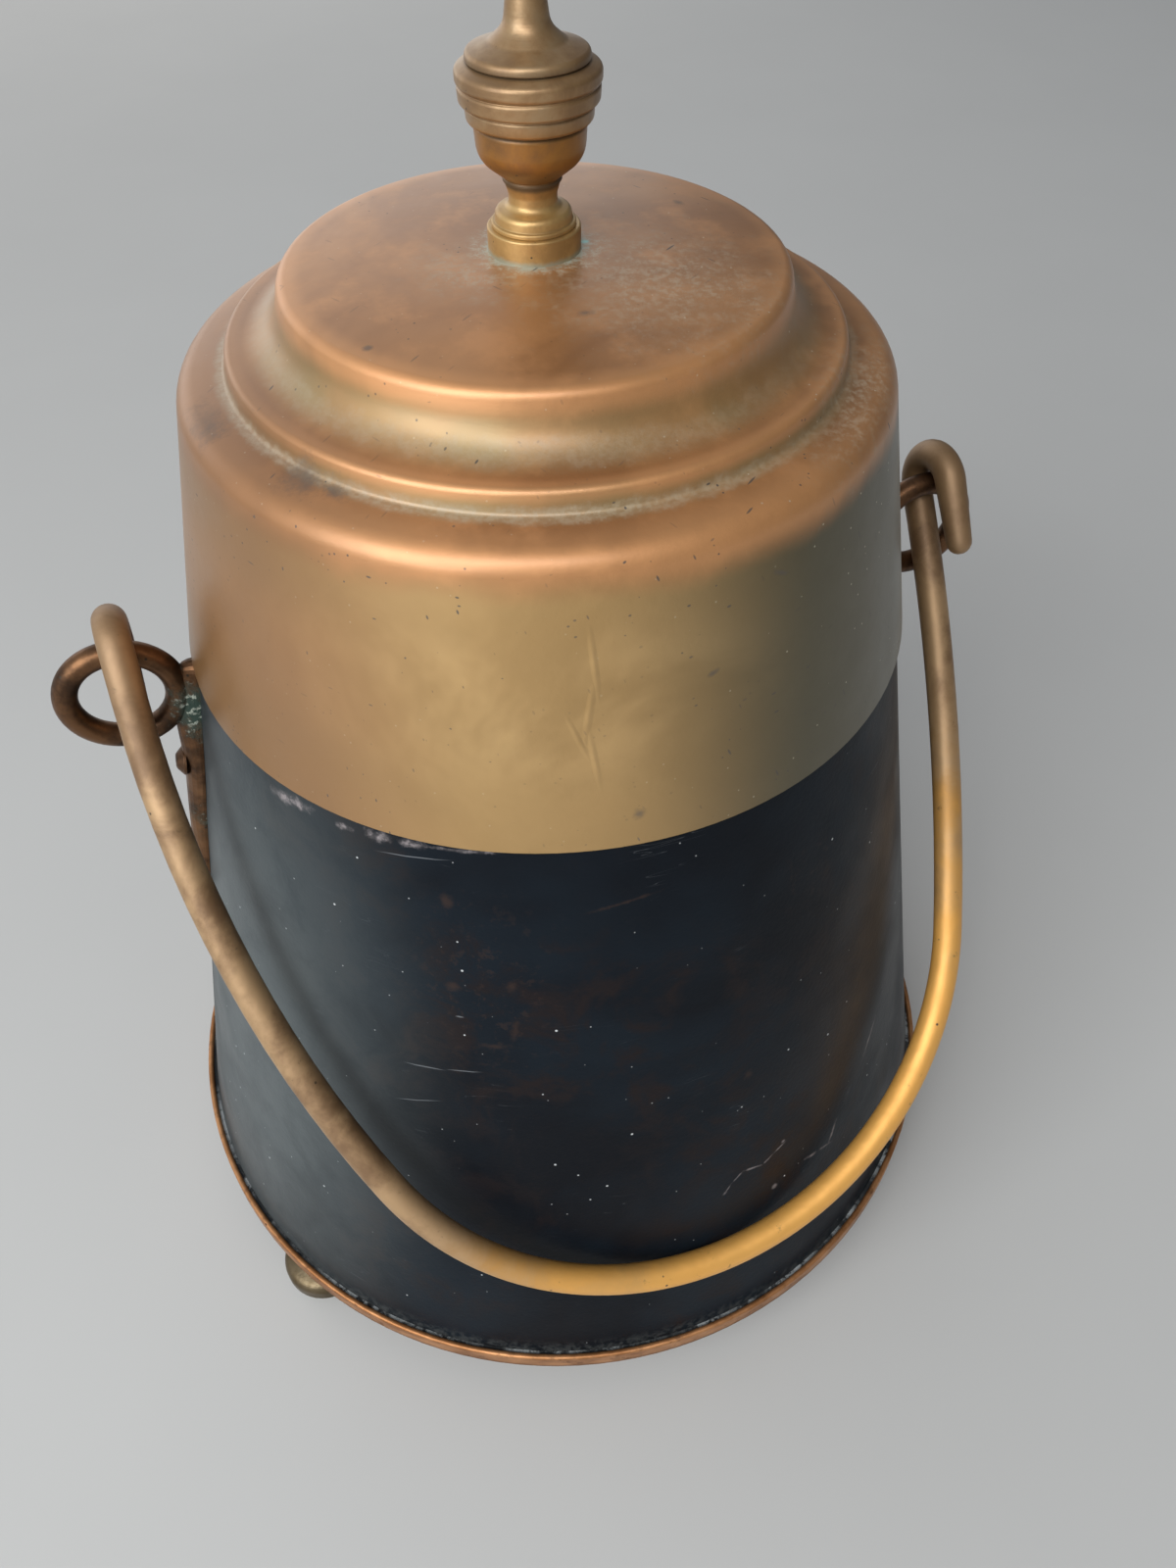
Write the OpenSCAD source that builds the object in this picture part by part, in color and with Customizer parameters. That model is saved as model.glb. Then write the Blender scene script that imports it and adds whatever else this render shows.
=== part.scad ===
// Ember extinguishing pot: a cone of sheet metal on three bun feet, closed by a spun
// copper lid with a turned brass finial, and carried by a bail hooked into two ears.
// Millimetres, +Z up, origin on the floor under the middle of the pot.
// The ears lie on the X axis and the bail rests against the front, at -Y.

/* [Body] */
// Outer radius of the cone where it stands on the base hoop
body_foot_r = 147.5; // [140:0.5:155]
// Outer radius of the cone at its mouth
body_mouth_r = 88.6; // [86:0.2:92]
// Height of the cone from the hoop to the mouth
body_h = 302.8; // [290:0.2:310]
// Thickness of the body sheet
body_wall = 1.4; // [1:0.1:2]
// Thickness of the wire that the mouth edge is curled round
wire_d = 3.1; // [2.4:0.1:4]
// Width of the brazed lap down the back
seam_w = 14; // [8:1:20]
// How far the lap stands proud of the cone
seam_proud = 0.8; // [0.4:0.1:1.2]
// Direction of the lap, turned from the right-hand ear
seam_az = 58; // [40:1:75]

/* [Base] */
// Width of the soldered groove between the cone and the hoop
groove_w = 0.4; // [0.3:0.1:1.5]
// Height of the hoop
hoop_h = 7.5; // [6:0.1:10]
// Thickness of the hoop's standing wall
hoop_wall = 2.1; // [1.6:0.1:2.3]
// Width of the flange that the hoop turns in under the floor
flange_w = 27; // [22:1:40]
// Thickness of the flange
flange_t = 1.4; // [1:0.1:2]
// Thickness of the floor plate
floor_t = 2; // [1.5:0.1:3]
// Depth of the soldered groove, below the hoop's edge
solder_drop = 1.6; // [0.8:0.1:3]

/* [Feet] */
// Height of a bun foot
foot_h = 20; // [16:0.5:26]
// Largest radius of a bun foot
foot_r = 15.5; // [12:0.5:17]
// Distance of a foot's middle from the hoop's outer edge
foot_inset = 11.5; // [11:0.5:13]
// Direction of the left front foot
foot_az = 211; // [205:1:215]
// Radius of the neck under the hoop
foot_neck_r = 8.6; // [7:0.2:10]

/* [Lid] */
// Thickness of the lid's copper
lid_wall = 1.2; // [0.8:0.1:1.6]
// Running gap between the lid and the cone
lid_gap = 0.4; // [0.3:0.05:0.8]
// How far the skirt reaches down over the body
skirt_h = 73.7; // [50:0.1:80]
// Outer radius of the rounded shoulder
shoulder_r = 6.5; // [5.5:0.1:9]
// Width and rise of the flange inside the shoulder
flange_step = [12.1, 2.35];
// Inward lean and height of the riser
riser_step = [1.1, 5.4];
// Width and rise of the cove's floor
cove_step = [12.3, 0.9];
// Width and rise of the cove's wall
wall_step = [2.6, 13.1];
// Radius of the cove
cove_r = 10.5; // [7:0.1:11]
// Rise of the plateau from its edge to the finial
dome_h = 2.8; // [1:0.1:6]

/* [Finial] */
// Radius of the collar on the lid
collar_r = 11.1; // [10.5:0.1:13]
// Height of the collar
collar_h = 5.7; // [4:0.1:8]
// Height of the pedestal
pedestal_h = 10.1; // [9:0.1:14]
// Radius of the neck under the urn
neck_r = 5.7; // [5:0.1:6.2]
// Height of the urn
urn_h = 12.7; // [11:0.1:16]
// Radius of the urn at its top
urn_r = 12.8; // [11.5:0.1:13.4]
// Height of the three beads
beads_h = 12.1; // [11.4:0.1:15]
// Radius of the largest bead
bead_r = 16.2; // [15.8:0.1:18]
// Radius of the bell cap
cap_r = 13.8; // [12.5:0.1:14.4]
// Height of the bell cap with its stem and button
cap_h = 23.6; // [23:0.1:28]
// Radius of the button on the stem
button_r = 5; // [4.6:0.1:6]
// Radius of the threaded stud through the finial
stud_r = 2.5; // [2:0.1:2.8]

/* [Ears] */
// Thickness of the ear's ring
ear_d = 7; // [6:0.1:7.6]
// Radius of the ring, to the middle of its rod
ring_r = 15; // [14.8:0.1:17]
// Drop of the ring's centre below the lid's edge
ring_drop = 7.5; // [7:0.5:14]
// Gap between the ring and the body
ring_stand = 2.6; // [2:0.1:5]
// Length of the tail, down from the ring's centre
tail_l = 95; // [85:1:110]
// Width of the tail at its rivets
tail_w = 13; // [10:0.5:16]
// Radius of a rivet's shank
rivet_r = 2.4; // [2:0.1:3]
// Radius of a rivet's head
rivet_head_r = 4.6; // [4:0.1:5.5]

/* [Bail] */
// Thickness of the bail's rod
bail_d = 9.4; // [8:0.1:9.6]
// Clearance of a hook round the ear
hook_gap = 0.3; // [0.2:0.05:0.5]
// Drop of the hinge line below the middle of the ring's rod
hook_drop = 0.6; // [0.4:0.05:0.8]
// Length of the returned end of a hook
hook_tail = 19; // [12:0.5:22]
// How far the bail has slid towards the right-hand ear
bail_shift = 3; // [0:0.1:3]
// Reach of the bail from its hinge line
bail_reach = 233.5; // [226:0.5:240]
// How far the bow draws in from the right hook to its own bottom curve
bow_tuck = 11.2; // [6:0.2:20]
// How far the middle of the bow lies to the right
bow_sway = 10; // [0:0.5:12]
// Straight run below each hook
bail_straight = 12; // [4:0.5:20]
// Gap between the resting bail and the body
rest_gap = 0.35; // [0.3:0.05:0.6]

/* [Hidden] */

$fn = 72;
round_fn = 40;
arc_steps = 8;
fit = 0.05;
more = 10;

copper = "#a8663c";
brass = "#8c6a36";
iron = "#23262c";
steel = "#5b5850";
solder = "#8d949a";

// Heights and cone, from the floor up
hoop_z = foot_h;
body_z = hoop_z + flange_t;
slope = (body_foot_r - body_mouth_r) / body_h;
lean = atan(slope);
mouth_z = body_z + body_h;
curl_r = wire_d / 2 + fit + body_wall;
curl_z = mouth_z - curl_r;
function cone_r(z) = body_foot_r - slope * (z - body_z);
skirt_z = mouth_z - skirt_h;
ring_z = skirt_z - ring_drop;
curl_c = [cone_r(curl_z) - curl_r / cos(lean), curl_z];

// Outlines: a path turns its corners with fillets, and a sheet is a path with a wall
function unit(v) = v / norm(v);
function left(v) = [-v.y, v.x];
function turn(v, a) = [v.x * cos(a) - v.y * sin(a), v.x * sin(a) + v.y * cos(a)];
function cross2(a, b) = a.x * b.y - a.y * b.x;
function rev(p) = [for (i = [len(p) - 1:-1:0]) p[i]];
function corner(a, b, c, r, n = arc_steps) =
    let (u = unit(a - b), v = unit(c - b), half = acos(u * v) / 2,
         m = b + unit(u + v) * r / sin(half), s = b + u * r / tan(half) - m,
         sweep = (180 - 2 * half) * sign(cross2(b - a, c - b)))
    [for (i = [0:n]) m + turn(s, sweep * i / n)];
function path(p) = [for (i = [0:len(p) - 1])
    each (p[i][2] == 0 ? [[p[i].x, p[i].y]]
        : corner([p[i - 1].x, p[i - 1].y], [p[i].x, p[i].y], [p[i + 1].x, p[i + 1].y], p[i][2]))];
function inset(p, t) = [for (i = [0:len(p) - 1])
    let (a = left(unit(p[max(i, 1)] - p[max(i, 1) - 1])),
         b = left(unit(p[min(i + 1, len(p) - 1)] - p[min(i + 1, len(p) - 1) - 1])),
         n = unit(a + b))
    p[i] + n * t / (n * a)];
function arc(c, r, from, to, n = arc_steps) =
    [for (i = [0:n]) c + r * [cos(from + (to - from) * i / n), sin(from + (to - from) * i / n)]];

module sheet(p, t) rotate_extrude() polygon(concat(p, rev(inset(p, t))));
module turned(p, bore) rotate_extrude() polygon(concat([[bore, p[0].y]], p, [[bore, p[len(p) - 1].y]]));
module ring(r, d) rotate_extrude() translate([r, 0]) circle(d = d, $fn = round_fn);

// Body: a rolled cone, lapped and brazed, its mouth curled inwards round a wire
rivet_drops = [31, 81];
module on_cone(z, side) translate([side * cone_r(z), 0, z]) rotate([0, side * (90 - lean), 0]) children();

module body_shell() color(iron) difference() {
    union() {
        sheet(concat([[body_foot_r, body_z]], arc(curl_c, curl_r, lean, 270, 2 * arc_steps)), body_wall);
        lap();
    }
    translate([0, 0, body_z - more]) cylinder(r = body_foot_r + more, h = more);
    for (side = [-1, 1], drop = rivet_drops)
        on_cone(ring_z - drop, side) cylinder(r = rivet_r + fit, h = 4 * body_wall, center = true, $fn = round_fn);
}

lap_z = [body_z + hoop_h, skirt_z - 4];
module lap() intersection() {
    sheet([[cone_r(lap_z[0]) + seam_proud, lap_z[0]], [cone_r(lap_z[1]) + seam_proud, lap_z[1]]],
          seam_proud + body_wall / 2);
    rotate([0, 0, seam_az]) translate([body_foot_r / 2, -seam_w / 2, 0]) cube([body_foot_r, seam_w, mouth_z]);
}

module mouth_wire() color(steel) translate([0, 0, curl_c.y]) ring(curl_c.x, wire_d);

// Base: a copper hoop turned in under the floor and soldered round the foot of the cone
hoop_inner = body_foot_r + groove_w;
hoop_r = hoop_inner + hoop_wall;
foot_circle_r = hoop_r - foot_inset;
floor_r = body_foot_r - body_wall / cos(lean) - slope * floor_t - fit;
function foot_place(i) = foot_az + 120 * i;
module at_foot(i) rotate([0, 0, foot_place(i)]) translate([foot_circle_r, 0, 0]) children();
module foot_holes(z, h) for (i = [0:2]) at_foot(i)
    translate([0, 0, z]) cylinder(r = rivet_r + fit, h = h, $fn = round_fn);

module base_hoop() color(copper) difference() {
    rotate_extrude() polygon(path([
        [hoop_r - flange_w, hoop_z, 0], [hoop_r, hoop_z, 0.6], [hoop_r, hoop_z + hoop_h, hoop_wall / 2 - fit],
        [hoop_inner, hoop_z + hoop_h, hoop_wall / 2 - fit], [hoop_inner, body_z, 0],
        [hoop_r - flange_w, body_z, 0]]));
    foot_holes(hoop_z - 1, flange_t + 2);
}

solder_z = hoop_z + hoop_h - solder_drop;
module hoop_solder() color(solder) rotate_extrude() polygon([
    [body_foot_r, body_z], [hoop_inner, body_z], [hoop_inner, solder_z], [cone_r(solder_z), solder_z]]);

module floor_plate() color(iron) difference() {
    translate([0, 0, body_z]) cylinder(r = floor_r, h = floor_t, $fn = 2 * $fn);
    foot_holes(body_z - 1, floor_t + 2);
}

// Feet: turned brass buns, each held by a rivet through the hoop and the floor
foot_pad_r = 0.62 * foot_r;
foot_bore_h = 9;
module foot(i) color(brass) at_foot(i) difference() {
    turned(path([
        [foot_pad_r, 0, 0], [foot_pad_r + 2.4, 0, 1.2], [foot_r, 0.26 * foot_h, 4],
        [foot_r, 0.62 * foot_h, 4.4], [foot_neck_r, 0.76 * foot_h, 1.4],
        [foot_neck_r, 0.86 * foot_h, 0.8], [foot_neck_r + 1.5, 0.88 * foot_h, 0.5],
        [foot_neck_r + 1.5, foot_h, 0]]), 0);
    translate([0, 0, foot_h - foot_bore_h]) cylinder(r = rivet_r + fit, h = foot_bore_h + 1, $fn = round_fn);
}
module foot_front_left() foot(0);
module foot_front_right() foot(1);
module foot_back() foot(2);

washer_r = 5.4;
washer_t = 1;
peen_h = 1.6;
floor_top = body_z + floor_t;
module foot_rivets() color(steel) for (i = [0:2]) at_foot(i)
    translate([0, 0, foot_h - foot_bore_h]) turned(path([
        [rivet_r, 0, 0], [rivet_r, foot_bore_h + flange_t + floor_t + washer_t, 0],
        [rivet_r + 1.4, foot_bore_h + flange_t + floor_t + washer_t, 0],
        [rivet_r + 1.4, foot_bore_h + flange_t + floor_t + washer_t + peen_h, 1.2],
        [0.1, foot_bore_h + flange_t + floor_t + washer_t + peen_h, 0]]), 0);
module foot_washers() color(steel) for (i = [0:2]) at_foot(i)
    translate([0, 0, floor_top]) difference() {
        cylinder(r = washer_r, h = washer_t, $fn = round_fn);
        translate([0, 0, -1]) cylinder(r = rivet_r + fit, h = washer_t + 2, $fn = round_fn);
    }

// Ears: a rod bent to a closed eye, its tail forged out to a leaf and riveted to the cone
ring_x = cone_r(ring_z) + ring_stand + ear_d / 2 + ring_r;
// Height below the ring's centre, thickness and width of the tail
tail_stations = [[-3, ear_d - 1.2, ear_d], [14, ear_d, ear_d + 0.4], [rivet_drops[0], ear_d - 1.8, tail_w - 2],
                 [52, ear_d - 2.2, tail_w - 3.4], [rivet_drops[1], 3.8, tail_w], [tail_l - 4, 2.8, tail_w - 5]];
head_h = 2.8;
seat_t = [ear_d - 2.1, 3.5];

module pebble(s) on_cone(ring_z - s[0], 1)
    scale([8, s[2], 2 * s[1]] / 10) sphere(d = 10, $fn = 20);

module ear() color(brass) difference() {
    union() {
        translate([ring_x, 0, ring_z]) rotate([90, 0, 0]) ring(ring_r, ear_d);
        for (i = [0:len(tail_stations) - 2]) hull() {
            pebble(tail_stations[i]);
            pebble(tail_stations[i + 1]);
        }
    }
    translate([0, 0, body_z]) cylinder(r1 = body_foot_r, r2 = body_mouth_r, h = body_h);
    for (i = [0, 1]) on_cone(ring_z - rivet_drops[i], 1) {
        translate([0, 0, -more]) cylinder(r = rivet_r + fit, h = 2 * more, $fn = round_fn);
        translate([0, 0, seat_t[i]]) cylinder(r = rivet_head_r + 0.2, h = more, $fn = round_fn);
    }
}
module ear_right() ear();
module ear_left() mirror([1, 0, 0]) ear();

rove_r = 5.4;
rove_t = 1;
rove_gap = rove_r * rove_r / (2 * (cone_r(ring_z) - body_wall)) + fit;
module ear_rivets() color(brass) for (i = [0, 1]) on_cone(ring_z - rivet_drops[i], 1) {
    back = body_wall + rove_gap + rove_t;
    translate([0, 0, -back]) turned(path([
        [0.1, -peen_h, 0], [rivet_r + 1.2, -peen_h, 0.9], [rivet_r + 1.2, 0, 0], [rivet_r, 0, 0], [rivet_r, back + seat_t[i], 0],
        [rivet_head_r, back + seat_t[i], 0], [rivet_head_r - 0.2, back + seat_t[i] + 0.7, 0.5],
        [0.45 * rivet_head_r, back + seat_t[i] + head_h, 2], [0.1, back + seat_t[i] + head_h, 0]]), 0);
}
module ear_roves() color(copper) for (drop = rivet_drops) on_cone(ring_z - drop, 1)
    translate([0, 0, -body_wall - rove_gap - rove_t]) difference() {
        cylinder(r = rove_r, h = rove_t, $fn = round_fn);
        translate([0, 0, -1]) cylinder(r = rivet_r + fit, h = rove_t + 2, $fn = round_fn);
    }
module ear_rivets_right() ear_rivets();
module ear_rivets_left() mirror([1, 0, 0]) ear_rivets();
module ear_roves_right() ear_roves();
module ear_roves_left() mirror([1, 0, 0]) ear_roves();

// Lid: one spun sheet, its skirt parallel to the cone and its shoulder over the curled mouth
lid_offset = lid_gap + lid_wall / cos(lean);
function lid_r(z) = cone_r(z) + lid_offset;
down_skirt = [sin(lean), -cos(lean)];
in_flange = unit([-flange_step.x, flange_step.y]);
shoulder_half = acos(down_skirt * in_flange) / 2;
shoulder_in = shoulder_r - lid_wall - curl_r - lid_gap * cos(lean);
shoulder_c = curl_c - shoulder_in * [cos(lean), sin(lean)];
shoulder_p = shoulder_c - unit(down_skirt + in_flange) * shoulder_r / sin(shoulder_half);
groove_p = shoulder_p + [-flange_step.x, flange_step.y];
step_p = groove_p + [-riser_step.x, riser_step.y];
cove_p = step_p + [-cove_step.x, cove_step.y];
plateau_p = cove_p + [-wall_step.x, wall_step.y];
lid_top = plateau_p.y + dome_h;
seat_r = collar_r + 0.4;
function dome_z(r) = lid_top - dome_h * pow((r - seat_r) / (plateau_p.x - seat_r), 2);
dome_rs = [for (i = [1:arc_steps - 1]) plateau_p.x + (seat_r - plateau_p.x) * i / arc_steps];

module lid_shell() color(copper) sheet(path(concat(
    [[lid_r(skirt_z), skirt_z, 0], [shoulder_p.x, shoulder_p.y, shoulder_r], [groove_p.x, groove_p.y, 1.2],
     [step_p.x, step_p.y, 1.8], [cove_p.x, cove_p.y, cove_r], [plateau_p.x, plateau_p.y, 3]],
    [for (r = dome_rs) [r, dome_z(r), 0]],
    [[seat_r, lid_top, 0], [stud_r + fit, lid_top, 0]])), lid_wall);

// Finial: turned brass pieces stacked on a threaded stud, with a washer and nut in the lid
pedestal_z = lid_top + collar_h;
urn_z = pedestal_z + pedestal_h;
beads_z = urn_z + urn_h;
cap_z = beads_z + beads_h;
stud_top = cap_z + 8;
nut_h = 4.2;
nut_af = 10;
stud_tail = 2.2;
bore = stud_r + fit;

module finial_collar() color(brass) translate([0, 0, lid_top]) turned(path([
    [collar_r, 0, 0], [collar_r, collar_h, 0.5], [pedestal_lip_r - 0.3, collar_h, 0]]), bore);

pedestal_lip_r = collar_r - 1.1;
module finial_pedestal() color(brass) translate([0, 0, pedestal_z]) turned(path([
    [pedestal_lip_r - 0.6, 0, 0], [pedestal_lip_r, 0, 0.3], [pedestal_lip_r, 1.1, 0.4],
    [pedestal_lip_r - 0.8, 1.2, 0.2], [pedestal_lip_r - 1.1, 3.7, 1.4], [neck_r, 4.5, 1.6],
    [neck_r, 0.72 * pedestal_h, 2], [neck_r + 0.9, pedestal_h, 0]]), bore);

urn_foot_r = neck_r + 1.2;
module finial_urn() color(brass) translate([0, 0, urn_z]) turned(path([
    [urn_foot_r - 0.4, 0, 0], [urn_foot_r, 0, 0.2], [urn_foot_r, 0.7, 0.3], [urn_foot_r - 0.3, 0.9, 0.2],
    [0.96 * urn_r, 0.42 * urn_h, 6], [urn_r, urn_h - 0.8, 1.2], [urn_r - 0.5, urn_h, 0]]), bore);

// Height, radius and corner radius of the beads, from the urn up
bead_step = beads_h / 3.2;
module finial_beads() color(brass) translate([0, 0, beads_z]) turned(path([
    [urn_r - 0.7, 0, 0], [bead_r - 2, 0.3, 0.9], [bead_r - 1.7, bead_step - 0.4, 0.9],
    [bead_r - 2.2, bead_step - 0.1, 0.2], [bead_r - 0.5, bead_step + 0.3, 0.9],
    [bead_r - 0.3, 2 * bead_step - 0.3, 0.9], [bead_r - 0.9, 2 * bead_step, 0.2],
    [bead_r, 2 * bead_step + 0.5, 1.2], [bead_r, 3 * bead_step - 0.6, 1.3],
    [cap_r + 0.5, beads_h - 0.5, 0.6], [cap_r - 0.9, beads_h, 0]]), bore);

stem_r = 4.2;
button_h = 2 * button_r;
stem_top = cap_h - button_h;
module finial_cap() color(brass) translate([0, 0, cap_z]) difference() {
    turned(path([
        [cap_r - 0.9, 0, 0], [cap_r, 0, 0.5], [cap_r - 0.2, 1.9, 1.3], [0.62 * cap_r, 3.6, 2.6],
        [stem_r + 0.9, 6.4, 5], [stem_r, stem_top - 0.6, 0.3], [stem_r + 0.9, stem_top - 0.5, 0.3],
        [stem_r + 0.9, stem_top + 0.5, 0.3], [stem_r - 0.6, stem_top + 0.6, 0.2],
        [button_r, stem_top + 2.2, 2], [button_r, stem_top + 6.6, 2.4], [0.1, cap_h, 0]]), 0);
    translate([0, 0, -1]) cylinder(r = bore, h = stud_top - cap_z + 1.5, $fn = round_fn);
}

washer_z = lid_top - lid_wall;
module finial_stud() color(steel) translate([0, 0, washer_z - washer_t - nut_h - stud_tail])
    cylinder(r = stud_r, h = stud_top - washer_z + washer_t + nut_h + stud_tail, $fn = round_fn);
module lid_washer() color(steel) translate([0, 0, washer_z - washer_t]) difference() {
    cylinder(r = collar_r - 1.4, h = washer_t, $fn = round_fn);
    translate([0, 0, -1]) cylinder(r = bore, h = washer_t + 2, $fn = round_fn);
}
module lid_nut() color(steel) translate([0, 0, washer_z - washer_t - nut_h]) difference() {
    cylinder(d = nut_af / cos(30), h = nut_h, $fn = 6);
    translate([0, 0, -1]) cylinder(r = bore, h = nut_h + 2, $fn = round_fn);
}

// Bail: one rod bent to a three-centred bow, with a hook at each end. The left hook
// returns behind the rod and the right hook in front of it, so the bow stands a little
// askew of the line through the two ears.
hook_r = ear_d / 2 + hook_drop + hook_gap + bail_d / 2;
hinge_z = ring_z + ring_r - hook_drop;
hook_left = ring_x - bail_shift - 0.3;
hook_right = ring_x + bail_shift - 0.3;
twist = atan(2 * hook_r / (hook_left + hook_right));
twist_y = (hook_right - hook_left) / 2 * sin(twist);
bow_r = hook_right - bow_sway - bow_tuck;
bow_c = [bow_sway, bow_r - bail_reach];
bow_drop = bail_reach - bow_r - bail_straight;
function side_r(a) = (a * a + bow_drop * bow_drop - bow_r * bow_r) / (2 * (a - bow_r));
left_r = side_r(hook_left + bow_sway);
right_r = side_r(hook_right - bow_sway);
left_c = [left_r - hook_left, -bail_straight];
right_c = [hook_right - right_r, -bail_straight];
function heading(v) = (atan2(v.y, v.x) + 360) % 360;
left_end = heading(bow_c - left_c);
right_end = heading(bow_c - right_c);

// The tilt at which the lowest point of the bow meets the front of the cone
function bow_clear(tilt) =
    let (z = hinge_z - bail_reach * cos(tilt), y = bail_reach * sin(tilt) + twist_y - bow_sway * sin(twist))
    norm([bow_sway, y]) - cone_r(z) - (bail_d / 2 + rest_gap) / cos(lean);
function find_tilt(lo, hi, n) = let (mid = (lo + hi) / 2)
    n == 0 ? mid : bow_clear(mid) > 0 ? find_tilt(lo, mid, n - 1) : find_tilt(mid, hi, n - 1);
rest_tilt = find_tilt(5, 80, 30);

// Stations along the rod: middle, heading, a direction across it, and its radius there
rod_r = bail_d / 2;
rod_sides = 24;
end_steps = 4;
hook_steps = 12;
side_steps = 6;
bow_steps = 28;
function hook_run(x, y, across) = [for (i = [0:hook_steps])
    let (a = 180 * i / hook_steps)
    [[x, y + hook_r * cos(a), hook_r * sin(a)], [0, -sin(a), cos(a)], across, rod_r]];
function flat_run(c, r, from, to, n) = [for (i = [1:n])
    let (a = from + (to - from) * i / n)
    [[c.x + r * cos(a), 0, c.y + r * sin(a)], [-sin(a), 0, cos(a)], [-cos(a), 0, -sin(a)], rod_r]];
function round_end(x, y, heading, across) = [for (i = [0:end_steps])
    let (a = 80 * (heading > 0 ? end_steps - i : i) / end_steps)
    [[x, y, -hook_tail - rod_r * sin(a)], [0, 0, heading], across, rod_r * cos(a)]];
right = [1, 0, 0];
rod = concat(
    round_end(-hook_left, 2 * hook_r, 1, right),
    hook_run(-hook_left, hook_r, right),
    [[[-hook_left, 0, -bail_straight], [0, 0, -1], right, rod_r]],
    flat_run(left_c, left_r, 180, left_end, side_steps),
    flat_run(bow_c, bow_r, left_end, right_end, bow_steps),
    flat_run(right_c, right_r, right_end, 360, side_steps),
    hook_run(hook_right, -hook_r, -right),
    round_end(hook_right, -2 * hook_r, -1, -right));

module swept_rod(s) {
    n = rod_sides;
    last = len(s) - 1;
    points = [for (p = s, i = [0:n - 1])
        let (a = 360 * i / n) p[0] + p[3] * (p[2] * cos(a) + cross(p[1], p[2]) * sin(a))];
    sides = [for (k = [0:last - 1], i = [0:n - 1])
        let (a = k * n + i, b = k * n + (i + 1) % n) each [[a, a + n, b], [b, a + n, b + n]]];
    polyhedron(points, concat([[for (i = [0:n - 1]) i]], sides, [[for (i = [n - 1:-1:0]) last * n + i]]));
}

module bail() color(brass)
    translate([0, 0, hinge_z]) rotate([-rest_tilt, 0, 0]) translate([0, -twist_y, 0]) rotate([0, 0, twist])
        swept_rod(rod);

body_shell();
mouth_wire();
base_hoop();
hoop_solder();
floor_plate();
foot_front_left();
foot_front_right();
foot_back();
foot_rivets();
foot_washers();
ear_left();
ear_right();
ear_rivets_left();
ear_rivets_right();
ear_roves_left();
ear_roves_right();
lid_shell();
finial_collar();
finial_pedestal();
finial_urn();
finial_beads();
finial_cap();
finial_stud();
lid_washer();
lid_nut();
bail();
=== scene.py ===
from math import atan, atan2, cos, pi, radians, sin

import bpy
from mathutils import Matrix, Vector


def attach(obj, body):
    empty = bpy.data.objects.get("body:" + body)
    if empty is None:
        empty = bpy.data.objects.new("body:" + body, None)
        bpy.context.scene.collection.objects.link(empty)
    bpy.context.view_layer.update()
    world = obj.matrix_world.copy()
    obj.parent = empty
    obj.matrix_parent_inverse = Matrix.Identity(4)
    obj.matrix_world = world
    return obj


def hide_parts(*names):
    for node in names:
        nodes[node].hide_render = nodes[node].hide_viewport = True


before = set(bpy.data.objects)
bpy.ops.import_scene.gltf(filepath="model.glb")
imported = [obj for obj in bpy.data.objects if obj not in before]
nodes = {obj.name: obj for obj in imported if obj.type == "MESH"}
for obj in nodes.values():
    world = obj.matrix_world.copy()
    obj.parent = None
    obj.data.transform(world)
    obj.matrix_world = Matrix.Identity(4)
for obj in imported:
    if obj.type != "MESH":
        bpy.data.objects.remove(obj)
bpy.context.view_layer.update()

scene = bpy.context.scene

# Camera, floor and light. The pot was photographed from close above its front, a little
# to the left, so the camera keeps that place. It stands on a plain pale floor, lit by broad
# soft lights on the left, behind it and above its front, and by a sky that fades to the right.
lens_mm = 28.125
sensor_mm = 36
nearest_seen = 0.01
camera_place = (-0.0807, -0.2813, 0.4790)
camera_right = (0.947743, -0.319004, -0.004323)
camera_up = (0.237341, 0.695941, 0.677742)
camera_back = (-0.213194, -0.643352, 0.735287)
floor_size = 14.0
floor_pale = (0.56, 0.555, 0.54, 1)
floor_shade = (0.532, 0.52725, 0.513, 1)
sky_colour = (0.84, 0.89, 0.95, 1)
sky_left_x = -0.9
sky_right_x = 0.6
sky_bright = 0.82
sky_dim = 0.12

scene.view_settings.view_transform = "Standard"
camera_data = bpy.data.cameras.new("photo_camera")
camera_data.lens = lens_mm
camera_data.sensor_width = sensor_mm
camera_data.clip_start = nearest_seen
camera = bpy.data.objects.new("photo_camera", camera_data)
camera_turn = Matrix((camera_right, camera_up, camera_back)).transposed().to_4x4()
camera.matrix_world = Matrix.Translation(camera_place) @ camera_turn
scene.collection.objects.link(camera)
scene.camera = camera


def clear_selection():
    if bpy.context.object and bpy.context.object.mode == "EDIT":
        bpy.ops.object.mode_set(mode="OBJECT")
    bpy.ops.object.select_all(action="DESELECT")


def new_finish(name, metallic=1.0, roughness=0.4, gloss=0.5):
    """A material, its node tree, its shader, and the point that its patterns are read at."""
    finish = bpy.data.materials.new(name)
    finish.use_nodes = True
    tree = finish.node_tree
    shader = tree.nodes["Principled BSDF"]
    shader.inputs["Metallic"].default_value = metallic
    shader.inputs["Roughness"].default_value = roughness
    shader.inputs["Specular IOR Level"].default_value = gloss
    where = tree.nodes.new("ShaderNodeTexCoord").outputs["Object"]
    return finish, tree, shader, where


def feed(tree, socket, value):
    if isinstance(value, bpy.types.NodeSocket):
        tree.links.new(value, socket)
    else:
        socket.default_value = value


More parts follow.
